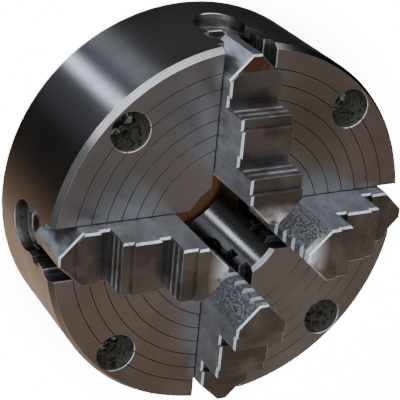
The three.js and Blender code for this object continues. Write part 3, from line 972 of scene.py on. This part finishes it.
def bolt_grid(screw):
    """One closed skin: point, shank, seat, knurled head, top bevel, then down the hexagon."""
    angle = angles(240)
    top, seat = BOLT_HIGH.z, BOLT_HIGH.z - screw.head_height
    bevel = 1.2 * MM
    knurl_depth, knurl_count, lip = 0.22 * MM, 60, 0.8 * MM
    knurled = HEAD_R - knurl_depth * (1 - np.cos(knurl_count * angle)) / 2
    hexagon = polygon_radius(angle, 6, screw.hex_apothem)
    hex_floor = top - screw.hex_depth
    return upright_rings([
        (screw.bolt_radius * 0.5, BOLT_LOW.z),
        (screw.bolt_radius - bevel, BOLT_LOW.z),
        (screw.bolt_radius, BOLT_LOW.z + bevel),
        (screw.bolt_radius, seat),
        (HEAD_R - PLAY, seat),
        (HEAD_R, seat + PLAY),
        (knurled, seat + 1.0 * MM),
        (knurled, top - 2.6 * MM),
        (HEAD_R, top - 2.2 * MM),
        (HEAD_R, top - bevel),
        (HEAD_R - bevel, top),
        (hexagon + lip, top),
        (hexagon, top - lip),
        (hexagon, hex_floor),
        (hexagon * 0.6, hex_floor),
        (0.5 * MM, hex_floor - 1.5 * MM),
    ], angle)


class CHUCK_OT_bolts(bpy.types.Operator):
    """Make one cap screw and copy it into each well"""

    bl_idname = "chuck.bolts"
    bl_label = "Mounting bolts"

    def execute(self, context):
        first = grid_object("bolt", bolt_grid(context.scene.chuck_screw))
        move(first, BOLT_PLACE)
        finish_copies(first, "cap", "mounting_bolt", black_oxide_steel, "black_oxide", offset=0.5)
        return {"FINISHED"}


class CHUCK_OT_thrust_blocks(bpy.types.Operator):
    """Turn one thrust block with its saddle and rib, and copy it behind each screw"""

    bl_idname = "chuck.thrust_blocks"
    bl_label = "Thrust blocks"

    def execute(self, context):
        body, screw = context.scene.chuck_body, context.scene.chuck_screw
        lip = 0.8 * MM
        plug = turned("plug", [
            (PLUG_R - lip, PLUG_LOW.z), (PLUG_R, PLUG_LOW.z + lip), (PLUG_R, PLUG_HIGH.z),
        ], 96)
        move(plug, (NECK_X, 0, 0))
        rib = screw.neck_length / 2 - PLAY
        neck, bore = screw.neck_radius + PLAY, body.screw_bore
        start, stop = NECK_X - 2 * PLUG_R, NECK_X + 2 * PLUG_R  # clear of the plug at both ends
        shape_by(plug, [
            rod_x("saddle", [(bore, start), (bore, NECK_X - rib)], 96),
            rod_x("saddle", [(bore, NECK_X + rib), (bore, stop)], 96),
            rod_x("neck", [(neck, start), (neck, stop)], 64),
            pin_seat(),
        ])
        finish_copies(plug, "round", "thrust_block", machined_block_steel, "block_steel")
        return {"FINISHED"}


class CHUCK_OT_lock_screws(bpy.types.Operator):
    """Make one set screw and copy it beside each thrust block"""

    bl_idname = "chuck.lock_screws"
    bl_label = "Lock screws"

    def execute(self, context):
        screw = context.scene.chuck_screw
        angle = angles(48)
        hexagon = polygon_radius(angle, 6, screw.pin_hex_apothem)
        point, lip = 0.9 * MM, 0.6 * MM
        grid = upright_rings([
            (PIN_R - point, PIN_HIGH.z), (PIN_R, PIN_HIGH.z - point), (PIN_R, PIN_LOW.z + lip),
            (PIN_R - lip, PIN_LOW.z), (hexagon, PIN_LOW.z), (hexagon, PIN_LOW.z + 3 * MM),
        ], angle)
        first = move(grid_object("pin", grid), PIN_PLACE)
        finish_copies(first, "set", "block_lock_screw", black_oxide_steel, "black_oxide")
        return {"FINISHED"}


# ---------- studio ----------
def aim(item, target, roll=0.0):
    """Points an object's -Z axis at a target, then rolls it about that line."""
    away = (item.location - target).normalized()
    item.rotation_euler = away.to_track_quat("Z", "Y").to_euler()
    item.rotation_euler.rotate_axis("Z", roll)


def plain_paint(name, code):
    material = bpy.data.materials.new(name)
    material.use_nodes = True
    shader = material.node_tree.nodes["Principled BSDF"]
    shader.inputs["Base Color"].default_value = srgb(code)
    shader.inputs["Roughness"].default_value = 0.9
    return material


# The surroundings that the metal mirrors: (azimuth, elevation, half width, half height, softness,
# all in degrees, colour, strength). Cool windows stand behind the camera, a warm room faces it.
SURROUNDINGS = (
    ("window_wall", 135, 31, 88, 14, 14, "#dfe8f6", 2.6),
    ("window_low", 98, 4, 44, 10, 12, "#dfe8f6", 4.5),
    ("window_glow", 135, 58, 102, 12, 16, "#c3d3ea", 1.25),
    ("window_strip", 127, -55, 2, 26, 3, "#d8e6ff", 6.5),
    ("side_window", 104, -55, 5, 22, 6, "#c4d0e4", 0.95),
    ("warm_wall", 284, -8, 36, 48, 34, "#ffe6d0", 0.58),
    ("warm_floor", 240, -52, 22, 20, 24, "#ffd8b4", 0.26),
    ("dim_glow", 141, -50, 12, 25, 14, "#c8d4e6", 0.12),
)


def window_weight(tree, azimuth, elevation, half_width, half_height, soft, middle):
    """1 inside a rectangle of directions, falling smoothly to 0 over its softness."""
    radians = [math.radians(v) for v in (half_width, half_height, soft, *middle)]
    wide, high, edge, middle_az, middle_el = radians
    aside = add(tree, "Math", (azimuth, middle_az), operation="SUBTRACT")
    aside = add(tree, "Math", (aside, math.pi, -math.pi), operation="WRAP")
    aside = add(tree, "Math", (aside,), operation="ABSOLUTE")
    above = add(tree, "Math", (elevation, middle_el), operation="SUBTRACT")
    above = add(tree, "Math", (above,), operation="ABSOLUTE")
    smooth = {"interpolation_type": "SMOOTHSTEP"}
    across = add(tree, "MapRange", (aside, wide + edge, wide), **smooth)
    along = add(tree, "MapRange", (above, high + edge, high), **smooth)
    return product(tree, across, along)


def studio_world():
    """A dark room with a few bright and warm areas, given by direction."""
    world = bpy.data.worlds.new("studio")
    world.use_nodes = True
    tree = world.node_tree
    tree.nodes.clear()
    x = add(tree, "SeparateXYZ", (add(tree, "TexCoord", out="Generated"),))
    y, z = x.node.outputs[1], x.node.outputs[2]
    azimuth = add(tree, "Math", (y, x), operation="ARCTAN2")
    elevation = add(tree, "Math", (z,), operation="ARCSINE")
    light = srgb("#1b1613")[:3]
    for _, az, el, wide, high, soft, colour, strength in SURROUNDINGS:
        weight = window_weight(tree, azimuth, elevation, wide, high, soft, (az, el))
        glow = tuple(c * strength for c in srgb(colour)[:3])
        glow = add(tree, "VectorMath", {0: glow, "Scale": weight}, operation="SCALE")
        light = add(tree, "VectorMath", (light, glow), operation="ADD")
    back = add(tree, "Background", {"Color": light, "Strength": 1.0})
    add(tree, "OutputWorld", (back,), None)
    return world


def floor_lamp(name, place, size, power):
    """A large soft lamp that lights the floor and isn't mirrored in the metal."""
    light = bpy.data.lights.new(name, "AREA")
    light.size = size
    light.energy = power
    lamp = bpy.data.objects.new(name, light)
    bpy.context.scene.collection.objects.link(lamp)
    lamp.location = place
    aim(lamp, Vector((0, 0, 0)))
    lamp.visible_glossy = False


class CHUCK_OT_stage(bpy.types.Operator):
    """Set the pale floor, the soft lights and the camera"""

    bl_idname = "chuck.stage"
    bl_label = "Stage"

    def execute(self, context):
        scene = context.scene
        side = 4.0  # half the floor's width
        corners = [(-side, -side), (side, -side), (side, side), (-side, side)]
        floor = mesh_object("floor", np.array([(x, y, BODY_LOW.z) for x, y in corners]), [(0, 1, 2, 3)])
        floor.data.materials.append(plain_paint("pale_floor_paint", "#f2f1ef"))
        floor.visible_glossy = False
        floor.visible_shadow = False
        # a brown bench disc under the bore, painted near black as the shade seen through the bore
        bench = turned("bench", [(60 * MM, 0.2 * MM), (60 * MM, 0.6 * MM)], 64)
        bench.data.materials.append(plain_paint("brown_bench_painted_shade", "#150c06"))
        bench.visible_glossy = False

        scene.world = studio_world()
        floor_lamp("overhead_lamp", Vector((-0.6, 0.5, 2.2)), 2.0, 1400)

        lens = bpy.data.cameras.new("camera")
        lens.lens, lens.sensor_width = 128.55, 36.0
        lens.shift_x, lens.shift_y = 0.0296, 0.0130
        lens.clip_start, lens.clip_end = 0.05, 20.0
        camera = bpy.data.objects.new("camera", lens)
        scene.collection.objects.link(camera)
        aimed_at = Vector((-0.0338, 0.0227, FACE_Z))
        azimuth, elevation, distance = math.radians(134.7), math.radians(53.09), 0.8873
        camera.location = aimed_at + distance * Vector((
            math.cos(elevation) * math.cos(azimuth),
            math.cos(elevation) * math.sin(azimuth),
            math.sin(elevation),
        ))
        aim(camera, aimed_at, roll=math.radians(134.05))
        scene.camera = camera
        return {"FINISHED"}


# ---------- panel and registration ----------
PIECE_OPERATORS = (
    CHUCK_OT_stage, CHUCK_OT_body, CHUCK_OT_screws, CHUCK_OT_jaws, CHUCK_OT_thrust_blocks,
    CHUCK_OT_lock_screws, CHUCK_OT_bolts,
)
SETTINGS = {
    "chuck_body": ChuckBodySettings,
    "chuck_jaw": ChuckJawSettings,
    "chuck_screw": ChuckScrewSettings,
    "chuck_finish": ChuckFinishSettings,
}


class CHUCK_PT_panel(bpy.types.Panel):
    """Lists the steps that build the chuck"""

    bl_idname = "CHUCK_PT_panel"
    bl_label = "Lathe Chuck"
    bl_space_type = "VIEW_3D"
    bl_region_type = "UI"
    bl_category = "Chuck"

    def draw(self, context):
        for operator in PIECE_OPERATORS:
            self.layout.operator(operator.bl_idname)
        for name in SETTINGS:
            group = getattr(context.scene, name)
            box = self.layout.box()
            for field in group.bl_rna.properties.keys():
                if field not in {"rna_type", "name"}:
                    box.prop(group, field)


CLASSES = (*SETTINGS.values(), *PIECE_OPERATORS, CHUCK_PT_panel)


def register():
    for cls in CLASSES:
        bpy.utils.register_class(cls)
    for name, group in SETTINGS.items():
        setattr(bpy.types.Scene, name, bpy.props.PointerProperty(type=group))


def unregister():
    for name in SETTINGS:
        delattr(bpy.types.Scene, name)
    for cls in reversed(CLASSES):
        bpy.utils.unregister_class(cls)


def main():
    register()
    for operator in PIECE_OPERATORS:
        step = operator.bl_idname.split(".")[1]
        getattr(bpy.ops.chuck, step)()


if __name__ == "__main__":
    main()
